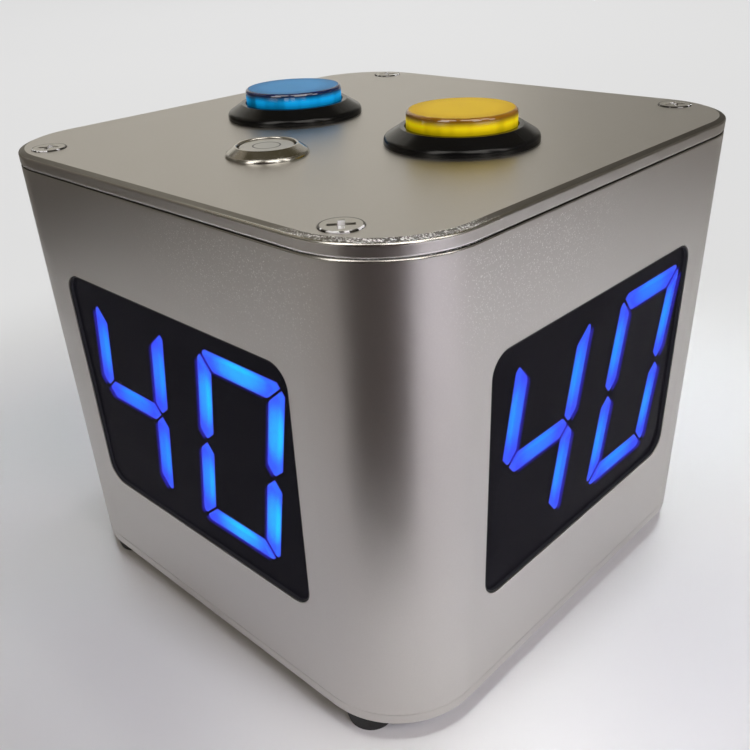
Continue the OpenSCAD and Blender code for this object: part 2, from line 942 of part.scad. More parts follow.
// Clear coloured cap: a cup with a rounded upper edge
module button_cap(side, tint) {
    r = cap_d / 2;
    rounding = [
        for (a = [0:15:90])
            [r - cap_edge_r + cap_edge_r * cos(a), cap_rise - cap_edge_r + cap_edge_r * sin(a)]
    ];
    color(tint, 0.85)
        at_button(side)
            rotate_extrude()
                polygon(concat(
                    [[0, cap_inside], [r - cap_wall, cap_inside], [r - cap_wall, cap_end], [r, cap_end]],
                    rounding,
                    [[0, cap_rise]]
                ));
}

// Plunger: a diffuser under the cap, a seat for the spring and two hooked legs, one of them to the switch
module button_plunger(side) {
    color(white)
        at_button(side) {
            rotate_extrude()
                polygon([
                    [0, cap_inside - diffuser_t], [plunger_r - plunger_wall, cap_inside - diffuser_t],
                    [plunger_r - plunger_wall, cap_end], [seat_in_r, cap_end], [seat_in_r, seat_z],
                    [leg_out, seat_z], [leg_out, cap_end], [plunger_r, cap_end],
                    [plunger_r, cap_inside], [0, cap_inside]
                ]);
            plunger_leg(hook_z - hook_h);
            rotate(180)
                plunger_leg(leg_end);
        }
}

// One leg, hooked under the barrel's floor and ending at the height low
module plunger_leg(low) {
    outer = leg_out - snug;
    rotate([90, 0, 0])
        linear_extrude(leg_w, center = true)
            polygon([
                [leg_in, seat_z + seat_t / 2], [outer, seat_z + seat_t / 2], [outer, hook_z],
                [leg_out + hook_w, hook_z], [outer, hook_z - hook_h], [outer, low], [leg_in, low]
            ]);
}

module button_spring(side) {
    color(steel)
        at_button(side)
            translate([0, 0, barrel_floor])
                coil_spring(button_spring_r, button_spring_wire, seat_z - barrel_floor, button_spring_turns);
}

// Wedge-base lamp standing in the barrel
module button_lamp(side) {
    color(white)
        at_button(side) {
            translate([0, 0, -barrel_l])
                cylinder(h = lamp_top - lamp_r + barrel_l, r = lamp_r);
            translate([0, 0, lamp_top - lamp_r])
                sphere(lamp_r);
            translate([-wedge[0] / 2, -wedge[1] / 2, -barrel_l - wedge[2]])
                cube([wedge[0], wedge[1], wedge[2] + snug]);
        }
}

// Holder under the barrel: a disc, the lamp's socket and a plate with pegs for the switch
module button_lamp_holder(side) {
    plate_near = switch_near - snug / 2 - switch_plate_t;
    plate_end = switch_shift - switch_size[1] / 2;
    plate_low = switch_top - switch_size[2];
    color(white)
        at_button(side)
            difference() {
                union() {
                    translate([0, 0, -barrel_l - holder_disc_t])
                        cylinder(h = holder_disc_t, r = barrel_r - snug);
                    translate([-plate_near, -socket_l / 2, -barrel_l - socket_h])
                        cube([2 * plate_near, socket_l, socket_h]);
                    translate([-plate_near - switch_plate_t, plate_end, plate_low])
                        cube([switch_plate_t, switch_size[1], -barrel_l - snug - plate_low]);
                    for (p = PEGS)
                        translate([-plate_near, switch_shift + p[0], switch_mid_z + p[1]])
                            rotate([0, -90, 0])
                                cylinder(h = switch_plate_t + switch_size[0], d = peg_d);
                }
                leg_slots(leg_gap, barrel_r + cut, -barrel_l - holder_disc_t - cut, -barrel_l + cut);
                translate([0, 0, -barrel_l - wedge[2] / 2])
                    cube([wedge[0] + 2 * snug, wedge[1] + 2 * snug, wedge[2] + 2 * snug], center = true);
            }
}

// Snap switch on the holder's pegs, with its pin under the long leg
module button_switch(side) {
    low = switch_top - switch_size[2];
    color(black)
        at_button(side)
            difference() {
                union() {
                    translate([-leg_mid - switch_size[0] / 2, switch_shift - switch_size[1] / 2, low])
                        cube(switch_size);
                    for (i = [-1:1])
                        translate([-leg_mid, switch_shift + i * blade_pitch, low - blade[2] / 2])
                            cube([blade[0], blade[1], blade[2] + 2 * snug], center = true);
                }
                for (p = PEGS)
                    translate([-switch_near + cut, switch_shift + p[0], switch_mid_z + p[1]])
                        rotate([0, -90, 0])
                            cylinder(h = switch_size[0] + 2 * cut, d = peg_d + 2 * snug);
                translate([-leg_mid, 0, pin_hole_end])
                    cylinder(h = switch_top - pin_hole_end + cut, r = pin_r + running);
            }
}

module button_switch_pin(side) {
    color("#b3312c")
        at_button(side)
            translate([-leg_mid, 0, pin_top - pin_l])
                cylinder(h = pin_l, r = pin_r);
}

// Power button

// Head with a bulging bevel and threaded barrel, with a groove for the seal and a wider mouth
module power_body() {
    lip = [power_head_r, power_lip_h];
    crest = [power_crest_r, power_head_h];
    across = crest - lip;
    ball = norm(across) / (2 * sin(power_bulge));
    facing = atan2(-across[0], across[1]);
    middle = (lip + crest) / 2 - ball * cos(power_bulge) * [cos(facing), sin(facing)];
    bevel = [
        for (i = [0:bulge_steps])
            let (a = facing + power_bulge * (2 * i / bulge_steps - 1))
            middle + ball * [cos(a), sin(a)]
    ];
    mouth_r = power_bore_r + power_mouth_w;
    mouth = [mouth_r, power_head_h - power_mouth_h];
    color(steel)
        at_power()
            rotate_extrude()
                polygon(concat(
                    [
                        [power_bore_r, -power_barrel_l], [power_barrel_r, -power_barrel_l],
                        [power_barrel_r, 0], [seal_in, 0], [seal_in, seal_t], [seal_out, seal_t],
                        [seal_out, 0], [power_head_r, 0]
                    ],
                    bevel,
                    [
                        each soft_corner(crest, [mouth_r, power_head_h], mouth, power_rim_r),
                        mouth,
                        [power_bore_r, power_head_h - power_mouth_h - power_mouth_w]
                    ]
                ));
}

module power_cap() {
    r = power_cap_d / 2;
    color(steel)
        at_power()
            rotate_extrude()
                polygon([
                    [0, power_stem_end], [power_stem_r, power_stem_end], [power_stem_r, power_cap_bottom],
                    [r, power_cap_bottom], [r, power_rise - power_chamfer], [r - power_chamfer, power_rise],
                    [0, power_rise]
                ]);
}

module power_spring() {
    color(steel)
        at_power()
            translate([0, 0, power_base_top])
                coil_spring(power_spring_r, power_spring_wire, power_spring_l, power_spring_turns);
}

module power_seal() {
    color(black)
        at_power()
            difference() {
                cylinder(h = seal_t, r = seal_out - thread_gap);
                translate([0, 0, -cut])
                    cylinder(h = seal_t + 2 * cut, r = seal_in + thread_gap);
            }
}

module power_nut() {
    color(steel)
        at_power()
            translate([0, 0, -plate_t - power_nut_h])
                difference() {
                    cylinder(h = power_nut_h, d = power_nut_af / cos(30), $fn = 6);
                    translate([0, 0, -cut])
                        cylinder(h = power_nut_h + 2 * cut, r = power_barrel_r + thread_gap);
                }
}

// Terminal base plugged into the end of the barrel
module power_base() {
    color(black)
        at_power() {
            translate([0, 0, -power_barrel_l - snug])
                cylinder(h = power_plug_l + snug, r = power_bore_r - snug);
            translate([0, 0, -power_barrel_l - power_base_h])
                cylinder(h = power_base_h, r = power_barrel_r - snug);
            for (i = [0:power_blades - 1])
                rotate(360 * i / power_blades)
                    translate([power_blade_ring, 0, -power_barrel_l - power_base_h - power_blade[2] / 2])
                        cube([power_blade[1], power_blade[0], power_blade[2] + snug], center = true);
        }
}

body_sleeve();
top_plate();
bottom_plate();
top_screws();
bottom_screws();
rubber_foot(-1, -1);  // foot_front_left
rubber_foot(1, -1);  // foot_front_right
rubber_foot(-1, 1);  // foot_back_left
rubber_foot(1, 1);  // foot_back_right
smoked_window(0);  // window_front
smoked_window(1);  // window_right
smoked_window(2);  // window_back
smoked_window(3);  // window_left
digit_block(0);  // digit_block_front
digit_block(1);  // digit_block_right
digit_block(2);  // digit_block_back
digit_block(3);  // digit_block_left
lit_strokes(0);  // lit_strokes_front
lit_strokes(1);  // lit_strokes_right
lit_strokes(2);  // lit_strokes_back
lit_strokes(3);  // lit_strokes_left
dark_strokes();
display_board(0);  // display_board_front
display_board(1);  // display_board_right
display_board(2);  // display_board_back
display_board(3);  // display_board_left
display_ribbons();
main_board();
board_standoffs();
board_screws();
buzzer();
charging_inlet();
battery_holder();
battery_cells();
button_bezel(-1);  // blue_bezel
button_nut(-1);  // blue_nut
button_cap(-1, cap_blue);  // blue_cap
button_plunger(-1);  // blue_plunger
button_spring(-1);  // blue_spring
button_lamp(-1);  // blue_lamp
button_lamp_holder(-1);  // blue_lamp_holder
button_switch(-1);  // blue_switch
button_switch_pin(-1);  // blue_switch_pin
button_bezel(1);  // yellow_bezel
button_nut(1);  // yellow_nut
button_cap(1, cap_yellow);  // yellow_cap
button_plunger(1);  // yellow_plunger
button_spring(1);  // yellow_spring
button_lamp(1);  // yellow_lamp
button_lamp_holder(1);  // yellow_lamp_holder
button_switch(1);  // yellow_switch
button_switch_pin(1);  // yellow_switch_pin
power_body();
power_cap();
power_spring();
power_seal();
power_nut();
power_base();
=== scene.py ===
import json
import math
import bmesh
import bpy
import numpy as np
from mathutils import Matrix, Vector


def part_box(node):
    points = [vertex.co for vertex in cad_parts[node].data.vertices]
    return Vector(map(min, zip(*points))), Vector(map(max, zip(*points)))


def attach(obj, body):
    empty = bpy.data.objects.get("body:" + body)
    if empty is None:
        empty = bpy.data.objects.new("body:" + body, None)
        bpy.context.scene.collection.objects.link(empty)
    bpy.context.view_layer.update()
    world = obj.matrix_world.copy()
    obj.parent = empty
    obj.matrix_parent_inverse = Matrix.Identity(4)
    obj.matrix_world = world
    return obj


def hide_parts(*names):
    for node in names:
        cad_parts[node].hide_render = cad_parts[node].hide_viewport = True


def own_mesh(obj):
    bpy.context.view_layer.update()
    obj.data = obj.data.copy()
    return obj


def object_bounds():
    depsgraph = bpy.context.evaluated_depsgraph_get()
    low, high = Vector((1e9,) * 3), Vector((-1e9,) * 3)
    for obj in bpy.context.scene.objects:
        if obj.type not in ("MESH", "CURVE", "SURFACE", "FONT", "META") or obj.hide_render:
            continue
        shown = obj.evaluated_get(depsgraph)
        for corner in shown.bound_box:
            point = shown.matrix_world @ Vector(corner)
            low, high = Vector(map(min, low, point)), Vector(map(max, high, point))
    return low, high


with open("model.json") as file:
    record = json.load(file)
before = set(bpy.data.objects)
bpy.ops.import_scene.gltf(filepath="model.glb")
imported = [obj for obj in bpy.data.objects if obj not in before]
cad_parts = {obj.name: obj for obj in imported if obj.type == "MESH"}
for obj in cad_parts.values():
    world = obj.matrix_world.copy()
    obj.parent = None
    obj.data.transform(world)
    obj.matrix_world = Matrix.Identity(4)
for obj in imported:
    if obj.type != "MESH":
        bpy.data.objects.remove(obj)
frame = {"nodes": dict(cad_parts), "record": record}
cad_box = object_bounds()

# A millimetre in metres, then in millimetres: half the case's width, the height where the lid meets the
# sleeve, how far each lid screw is from the middle, and the radius of the ring on the power button
MM = 0.001
CASE_HALF = 64.0
JOINT_Z = 110.0
SCREW_AT = (47.1, 56.8)
RING_MARK = 2.9
FACES = ("front", "right", "back", "left")
NODES = frame["nodes"]


class Shade:
    """One socket of a node tree. Arithmetic on it adds Math nodes, and node() adds any other node."""

    def __init__(self, tree, socket=None):
        self.tree = tree
        self.socket = socket

    def node(self, kind, sockets=None, out=0, **settings):
        """Adds a node: its settings first, then the value or link of each input."""
        made = self.tree.nodes.new("ShaderNode" + kind)
        for name, value in settings.items():
            setattr(made, name, value)
        for name, value in (sockets or {}).items():
            if isinstance(value, Shade):
                self.tree.links.new(value.socket, made.inputs[name])
            else:
                made.inputs[name].default_value = value
        return Shade(self.tree, made.outputs[out] if made.outputs else None)

    def math(self, operation, first, second=0.0):
        return self.node("Math", {0: first, 1: second}, operation=operation)

    def __add__(self, other):
        return self.math("ADD", self, other)

    def __radd__(self, other):
        return self.math("ADD", other, self)

    def __sub__(self, other):
        return self.math("SUBTRACT", self, other)

    def __rsub__(self, other):
        return self.math("SUBTRACT", other, self)

    def __mul__(self, other):
        return self.math("MULTIPLY", self, other)

    def __rmul__(self, other):
        return self.math("MULTIPLY", other, self)

    def __truediv__(self, other):
        return self.math("DIVIDE", self, other)

    def __rtruediv__(self, other):
        return self.math("DIVIDE", other, self)

    def __pow__(self, other):
        return self.math("POWER", self, other)

    def __rpow__(self, other):
        return self.math("POWER", other, self)

    def __gt__(self, other):
        return self.math("GREATER_THAN", self, other)

    def __lt__(self, other):
        return self.math("LESS_THAN", self, other)

    def __abs__(self):
        return self.math("ABSOLUTE", self)

    def sign(self):
        return self.math("SIGN", self)

    def larger(self, other):
        return self.math("MAXIMUM", self, other)

    def step(self, low, high):
        """Smooth step from 0 at low to 1 at high."""
        sockets = {"Value": self, 1: low, 2: high}
        return self.node("MapRange", sockets, interpolation_type="SMOOTHSTEP")

    def mix(self, first, second):
        """Colour that goes from first to second as this value goes from 0 to 1."""
        return self.node("Mix", {0: self, 6: first, 7: second}, out=2, data_type="RGBA")


def rgb(*parts):
    """A colour for a socket, from its red, green and blue."""
    return (*parts, 1.0)


BLACK = rgb(0.0, 0.0, 0.0)


def scaled(colour, factor, lift=0.0):
    """A colour with each part multiplied, and lifted by an amount."""
    return rgb(*[factor * part + lift for part in colour])


# Finishes whose own light is too faint to light anything else
FAINT = ("smoked_window", "window_seal", "glow_film", "pale_floor")


def finish(name, paint):
    """A material whose paint function gets the place on a piece and returns the shader's inputs."""
    material = bpy.data.materials.get(name) or bpy.data.materials.new(name)
    material.use_nodes = True
    material.cycles.emission_sampling = "NONE" if name in FAINT else "AUTO"
    tree = material.node_tree
    tree.nodes.clear()
    start = Shade(tree)
    place = start.node("TexCoord", out=3)
    shader = start.node("BsdfPrincipled", paint(place))
    start.node("OutputMaterial", {"Surface": shader})
    return material


def grain(place, scale, detail=3.0, rough=0.6):
    """Noise between 0 and 1 with cells of about 1 / scale metres."""
    sockets = {"Vector": place, "Scale": scale, "Detail": detail, "Roughness": rough}
    return place.node("TexNoise", sockets)


def stretched(place, factors):
    """Coordinates multiplied along each axis, which draws a pattern out along the small ones."""
    return place.node("VectorMath", {0: place, 1: factors}, operation="MULTIPLY")


def bumped(place, height, depth, strength=1.0, normal=None):
    """Normal tilted by a height field of the given depth in metres."""
    sockets = {"Height": height, "Distance": depth, "Strength": strength}
    if normal is not None:
        sockets["Normal"] = normal
    return place.node("Bump", sockets)


def soft_edges(place, radius):
    """Normal that rounds the edges of a piece by a radius in metres."""
    return place.node("Bevel", {"Radius": radius}, samples=6)


def axis_parts(place):
    """The X, Y and Z of a coordinate."""
    return [place.node("SeparateXYZ", {0: place}, out=i) for i in range(3)]


def axis_mm(place):
    """The X, Y and Z of a place, in millimetres."""
    return [part / MM for part in axis_parts(place)]


def blasted_aluminium(place):
    """Bead-blasted metal: fine pits, a dark seam under the lid and painted shade on its bevel.

    Towards the near corner the lid's edges are polished and carry painted highlights, the bevel painted
    glints, and the upper sides painted sparkles.
    """
    pits = grain(place, 3200.0, 2.0)
    slow = grain(place, 22.0, 2.0)
    cells = place.node("TexVoronoi", {"Vector": place, "Scale": 6000.0}, out=1)
    spark = place.node("SeparateColor", {0: cells}).step(0.86, 1.0)
    slope = axis_parts(place.node("NewGeometry", out=3))[2]
    x, y, z = axis_mm(place)
    rise = z - JOINT_Z
    off = abs(rise)
    nearness = x - y
    frontness = 0.6 * x - y
    lid = rise.step(-1.5, -1.0)
    joint = 1 - off.step(0.35, 0.6)
    brim = rise.step(2.0, 2.2) * (1 - rise.step(2.6, 2.7))
    seam = (1 - off.step(0.10, 0.30)) * (1 - 0.8 * frontness.step(84.0, 100.0))
    # Painted highlight: near the near corner, the lid's joint edge and the bevel's foot are painted near
    # white and made smoother
    worn = (joint * (1 - seam) + brim) * frontness.step(58.0, 90.0)
    bevel = slope.step(0.90, 0.92) * (1 - slope.step(0.975, 0.985)) * lid
    # Painted glints: white, less metallic specks on the bevel by the near corner
    painted_glint = bevel * nearness.step(98.0, 112.0) * grain(place, 2700.0, 3.0, 0.7).step(0.50, 0.58)
    tone = (slow * 0.3 + pits * 0.5).step(0.2, 0.6)
    metal = tone.mix(rgb(0.600, 0.575, 0.552), rgb(0.625, 0.602, 0.578))
    # Painted shade: the bevel's colour is darkened; the seam's near black is the joint
    cast = (bevel * 0.85).mix(seam.mix(metal, rgb(0.03, 0.027, 0.025)), rgb(0.25, 0.235, 0.215))
    upper = (1 - lid) * rise.step(-32.0, -6.0)
    # Painted sparkles: white, less metallic specks on the upper sides by the near corner
    painted_sparkle = spark * upper * nearness.step(44.0, 84.0) * (1 - nearness.step(106.0, 117.0))
    bright = (painted_sparkle * 0.7 + painted_glint + worn * 0.8).step(0.0, 1.0)
    return {
        "Base Color": bright.mix(cast, rgb(0.96, 0.95, 0.92)),
        "Metallic": 1 - 0.85 * painted_glint - 0.4 * painted_sparkle,
        "Roughness": 0.34 + 0.04 * slow - 0.06 * painted_sparkle - 0.14 * worn,
        "Normal": bumped(place, pits, 0.01 * MM, 0.25, soft_edges(place, 0.16 * MM)),
    }


def bright_steel(place):
    """Polished steel with faint handling marks."""
    marks = grain(place, 900.0, 4.0)
    return {
        "Base Color": marks.mix(rgb(0.66, 0.64, 0.60), rgb(0.78, 0.76, 0.72)),
        "Metallic": 1.0,
        "Roughness": 0.17 + 0.08 * marks,
    }


def screw_steel(place):
    """Plated screw: a dull head, a painted dark reflection on its rim, painted highlights on the near rim
    and one cross arm.
    """
    marks = grain(place, 1200.0, 4.0)
    x, y, z = axis_mm(place)
    dx = x - SCREW_AT[0] * x.sign()
    dy = y - SCREW_AT[1] * y.sign()
    rise = z - JOINT_Z
    top = rise > 1.0
    # Painted highlight: the arm of the cross that runs towards the near corner is painted white and less
    # metallic
    slot = (1 - abs(dx + dy).step(0.75, 0.95)) * (1 - rise.step(3.05, 3.15)) * top
    # Painted dark reflection round the head's rim, with painted highlight dashes on its near side
    rim = ((dx * dx + dy * dy) ** 0.5).step(3.45, 3.6) * top
    painted_rim_dash = rim * grain(place, 700.0, 1.0).step(0.50, 0.56) * (dx - dy).step(0.0, 1.5)
    plate = marks.mix(rgb(0.52, 0.50, 0.47), rgb(0.62, 0.60, 0.56))
    head = (rim * 0.9).mix(plate, rgb(0.04, 0.035, 0.03))
    bright = (slot + painted_rim_dash).step(0.0, 1.0)
    return {
        "Base Color": bright.mix(head, rgb(0.97, 0.97, 0.97)),
        "Metallic": 1 - 0.9 * bright,
        "Roughness": 0.26 + 0.12 * marks,
        "Normal": soft_edges(place, 0.15 * MM),
    }


def foot_rubber(place):
    """Black rubber with a fine moulded grain and a little dust."""
    pits = grain(place, 1500.0)
    dust = grain(place, 160.0).step(0.55, 0.8)
    return {
        "Base Color": dust.mix(rgb(0.012, 0.012, 0.012), rgb(0.026, 0.025, 0.024)),
        "Roughness": 0.62 + 0.2 * pits,
        "Normal": bumped(place, pits, 0.05 * MM, 0.5, soft_edges(place, 0.4 * MM)),
    }


def smoked_window(place):
    """Dark clear acrylic with faint smears, and a faint painted glow for the haze from the light behind it.
    """
    smear = grain(place, 60.0, 4.0)
    return {
        "Base Color": smear.mix(rgb(0.0035, 0.003, 0.004), rgb(0.005, 0.0045, 0.0055)),
        "Roughness": 0.5 + 0.1 * smear,
        "Specular IOR Level": 0.0,
        "Alpha": 0.28 + 0.03 * smear,
        # Painted glow, for the haze of the light behind the window
        "Emission Color": smear.mix(rgb(0.0095, 0.009, 0.013), rgb(0.0115, 0.011, 0.0155)),
        "Emission Strength": 1.0,
    }


def window_seal(place):
    """Black rubber bead whose inner wall has a faint painted glow, for the strokes' light through the
    window's edge.
    """
    pits = grain(place, 1500.0)
    x, y, _ = axis_mm(place)
    depth = CASE_HALF - abs(x).larger(abs(y))
    return {
        "Base Color": pits.mix(rgb(0.012, 0.012, 0.012), rgb(0.020, 0.020, 0.020)),
        "Roughness": 0.6 + 0.2 * pits,
        # Painted glow on the bead's inner wall
        "Emission Color": depth.step(0.16, 0.30).mix(BLACK, rgb(0.016, 0.0155, 0.0175)),
        "Emission Strength": 1.0,
    }


def display_black(place):
    """Polished black resin with a faint cloud."""
    cloud = grain(place, 90.0, 3.0)
    return {
        "Base Color": cloud.mix(rgb(0.0035, 0.003, 0.0035), rgb(0.006, 0.005, 0.006)),
        "Roughness": 0.12 + 0.06 * cloud,
        "Specular IOR Level": 0.10,
    }


def moulded(colour, worn, roughness):
    """A moulded plastic of two close colours with a fine grain."""
    def paint(place):
        pits = grain(place, 900.0)
        return {
            "Base Color": pits.mix(rgb(*colour), rgb(*worn)),
            "Roughness": roughness + 0.15 * pits,
            "Normal": bumped(place, pits, 0.03 * MM, 0.4, soft_edges(place, 0.2 * MM)),
        }
    return paint


def gloss_black(place):
    """Polished black moulding with a faint flow and dust."""
    flow = grain(place, 140.0, 3.0)
    dust = grain(place, 2400.0, 2.0).step(0.68, 0.8)
    return {
        "Base Color": dust.mix(rgb(0.004, 0.004, 0.0045), rgb(0.02, 0.02, 0.02)),
        "Roughness": 0.14 + 0.08 * flow,
        "Specular IOR Level": 0.38,
        "Normal": soft_edges(place, 0.3 * MM),
    }


def tinted_cap(node, face, side, band):
    """Clear tinted cap lit from within: a pale face, a dark polished band at its edge and a bright side."""
    low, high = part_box(node)
    middle = (low + high) / 2
    radius = (high.x - low.x) / 2

    def paint(place):
        x, y, z = axis_parts(place)
        reach = ((x - middle.x) ** 2.0 + (y - middle.y) ** 2.0) ** 0.5
        cloud = grain(place, 900.0, 3.0)
        ribs = grain(stretched(place, (1.0, 1.0, 0.02)), 240.0, 1.0).step(0.3, 0.6)
        drop = (high.z - z) / MM
        share = reach / radius
        rim = share.step(0.915, 0.97)
        below = drop.step(0.45, 2.1)
        shine = (0.35 + 0.65 * ribs) * (1 - 0.75 * drop.step(1.6, 3.8))
        wall = shine.mix(scaled(side, 0.3), scaled(side, 1.0, 0.015))
        flat = (share.step(0.55, 1.0) * 0.35 + cloud * 0.05).mix(rgb(*face), rgb(*band))
        glow = (1 - rim).mix(BLACK, scaled(face, 0.12))
        return {
            "Base Color": below.mix(rim.mix(flat, rgb(*band)), wall),
            "Roughness": 0.30 + 0.04 * cloud,
            "Specular IOR Level": 0.01,
            "Coat Weight": rim * (1 - below),
            "Coat Roughness": 0.03,
            "Coat IOR": 2.2,
            "Emission Color": (below * shine).mix(glow, scaled(side, 0.55)),
            "Emission Strength": 1.0,
            "Normal": soft_edges(place, 0.25 * MM),
        }
    return paint


def power_face(place):
    """Finely worked steel face with a plain engraved ring."""
    low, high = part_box("power_cap")
    middle = (low + high) / 2
    x, y, z = axis_parts(place)
    u = (x - middle.x) / MM
    v = (y - middle.y) / MM
    reach = (u * u + v * v) ** 0.5
    fine = grain(stretched(place, (1.0, 1.0, 0.0)), 1400.0, 2.0)
    ring = 1 - abs(reach - RING_MARK).step(0.12, 0.22)
    top = z > high.z - 0.2 * MM
    return {
        "Base Color": (ring * top).mix(rgb(0.66, 0.65, 0.63), rgb(0.12, 0.12, 0.12)),
        "Metallic": 1.0,
        "Roughness": 0.30 + 0.12 * fine,
        "Normal": soft_edges(place, 0.15 * MM),
    }


def circuit_board(place):
    """Green solder mask over a faint pattern of tracks."""
    tracks = grain(stretched(place, (1.0, 0.25, 1.0)), 420.0, 2.0).step(0.48, 0.54)
    return {
        "Base Color": tracks.mix(rgb(0.012, 0.10, 0.045), rgb(0.02, 0.17, 0.075)),
        "Roughness": 0.35 + 0.1 * tracks,
        "Normal": bumped(place, tracks, 0.03 * MM),
    }


def lit_stroke(place):
    """Clear stroke lit from behind: azure over its lamp, then blue, and violet by its outline.

    The strokes by the near corner shine the most.
    """
    across = place.node("Attribute", out=2, attribute_name="across")
    along = place.node("Attribute", out=2, attribute_name="along")
    cloud = grain(place, 420.0, 2.0)
    x, y, _ = axis_mm(place)
    strong = (x - 2 * y).step(126.0, 142.0)
    lamp = 1 - (along * along * 1.3 + across * across * 0.35 + 0.25 * cloud).step(0.0, 0.95)
    face = lamp.mix(
        strong.mix(rgb(0.034, 0.100, 1.0), rgb(0.032, 0.150, 1.0)),
        strong.mix(rgb(0.012, 0.300, 1.0), rgb(0.012, 0.640, 0.97)),
    )
    edge = across.step(0.78, 1.0) * 0.7
    return {
        "Base Color": cloud.mix(rgb(0.01, 0.02, 0.10), rgb(0.02, 0.03, 0.14)),
        "Roughness": 0.4,
        "Emission Color": edge.mix(face, rgb(0.060, 0.040, 0.80)),
        "Emission Strength": 2.05,
    }


def glow_film(place):
    """Painted glow on the window's face before a lit stroke, which fades towards the stroke's outline."""
    across = place.node("Attribute", out=2, attribute_name="across")
    cloud = grain(place, 600.0, 2.0)
    return {
        "Base Color": cloud.mix(rgb(0.004, 0.004, 0.02), rgb(0.006, 0.006, 0.03)),
        "Roughness": 0.6,
        "Specular IOR Level": 0.0,
        "Alpha": (1 - across.step(0.45, 1.0)) * (0.16 + 0.06 * cloud),
        "Emission Color": cloud.mix(rgb(0.050, 0.030, 0.85), rgb(0.060, 0.040, 0.95)),
        "Emission Strength": 1.0,
    }


# What paints each finish
LOOKS = {
    "blasted_aluminium": blasted_aluminium,
    "screw_steel": screw_steel,
    "polished_steel": bright_steel,
    "brushed_steel": power_face,
    "foot_rubber": foot_rubber,
    "window_seal": window_seal,
    "smoked_window": smoked_window,
    "black_plastic": display_black,
    "dark_stroke": display_black,
    "lit_stroke": lit_stroke,
    "glow_film": glow_film,
    "circuit_board": circuit_board,
    "grey_ribbon": moulded((0.28, 0.28, 0.30), (0.36, 0.36, 0.38), 0.5),
    "cell_wrap": moulded((0.03, 0.12, 0.34), (0.05, 0.16, 0.40), 0.3),
    "gloss_black": gloss_black,
    "blue_cap": tinted_cap("blue_cap", (0.07, 0.26, 0.50), (0.0, 0.38, 0.86), (0.0, 0.010, 0.085)),
    "yellow_cap": tinted_cap("yellow_cap", (0.68, 0.45, 0.02), (0.82, 0.62, 0.0), (0.34, 0.14, 0.0)),
    "white_plastic": moulded((0.70, 0.69, 0.65), (0.76, 0.75, 0.71), 0.45),
    "lamp_glass": moulded((0.80, 0.80, 0.77), (0.86, 0.86, 0.83), 0.2),
    "red_plastic": moulded((0.42, 0.03, 0.02), (0.50, 0.04, 0.03), 0.4),
}
MATERIALS = {look: finish(look, paint) for look, paint in LOOKS.items()}


def dress(piece, look):
    """Gives a piece one finish in place of any other."""
    piece.data.materials.clear()
    piece.data.materials.append(MATERIALS[look])


for part in frame["record"]["subparts"]:
    dress(NODES[part["node"]], part["material_slot"])


def joined(x, y, z):
    """Points from arrays of x, y and z, each spread to the shape they share."""
    return np.stack(np.broadcast_arrays(x, y, z), axis=-1)


def turned(x, y, radius, turn, height):
    """Points at a radius, a turn and a height about an upright axis at x and y."""
    return joined(x + radius * np.cos(turn), y + radius * np.sin(turn), height)


# Angle in degrees past which an edge is shown sharp, and the distance in metres at which points merge
SHARP = 35
MERGE = 0.001 * MM


def surface(name, points, body, look, slot=None, **values):
    """Mesh of closed patches from an array of patches, rows and columns of points.

    Each point is joined to the next column and the next row. Columns run round a patch and close, doubled
    points merge, and values are given to the points by name.
    """
    patches, rows, columns, _ = points.shape
    index = np.arange(patches * rows * columns).reshape(patches, rows, columns)
    beside = np.roll(index, -1, axis=2)
    quads = np.stack([index[:, :-1], beside[:, :-1], beside[:, 1:], index[:, 1:]], axis=-1)
    mesh = bpy.data.meshes.new(name)
    mesh.from_pydata(points.reshape(-1, 3), [], quads.reshape(-1, 4))
    for key, value in values.items():
        spread = np.broadcast_to(value, index.shape).astype(np.float32)
        mesh.attributes.new(key, "FLOAT", "POINT").data.foreach_set("value", spread.ravel())
    work = bmesh.new()
    work.from_mesh(mesh)
    bmesh.ops.remove_doubles(work, verts=work.verts, dist=MERGE)
    bmesh.ops.recalc_face_normals(work, faces=work.faces)
    work.to_mesh(mesh)
    work.free()
    mesh.shade_smooth()
    mesh.set_sharp_from_angle(angle=math.radians(SHARP))
    made = bpy.data.objects.new(name, mesh)
    bpy.context.scene.collection.objects.link(made)
    dress(made, look)
    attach(made, body)
    return made


# Displays, in millimetres on a face: u to the right, v up from the window's middle, and depth into the case
WINDOW_Z = 59.0
WINDOW_HALF = (38.2, 28.55)
WINDOW_R = 4.9
DIGIT_HALF = (13.355, 23.05)
DIGIT_PITCH = 38.8
DIGIT_RISE = 0.85
DIGIT_SHIFT = -0.3
STROKE = 4.6
STROKE_GAP = 0.424
STROKE_CORNER = 2.37
STROKE_FRONT = 0.94
STROKE_MID = 6.0
STROKE_BACK = 11.9
HAZE_DEPTH = 0.06
LEAN = math.tan(math.radians(10))
LIT = ("bcfg", "abcdef")


def on_face(k, u, v, depth):
    """Points on face k: u and depth turned by a quarter for each face from the front to the right."""
    turn = k * math.pi / 2
    out = CASE_HALF - depth
    x = math.cos(turn) * u + math.sin(turn) * out
    y = math.sin(turn) * u - math.cos(turn) * out
    return joined(x, y, WINDOW_Z + v) * MM


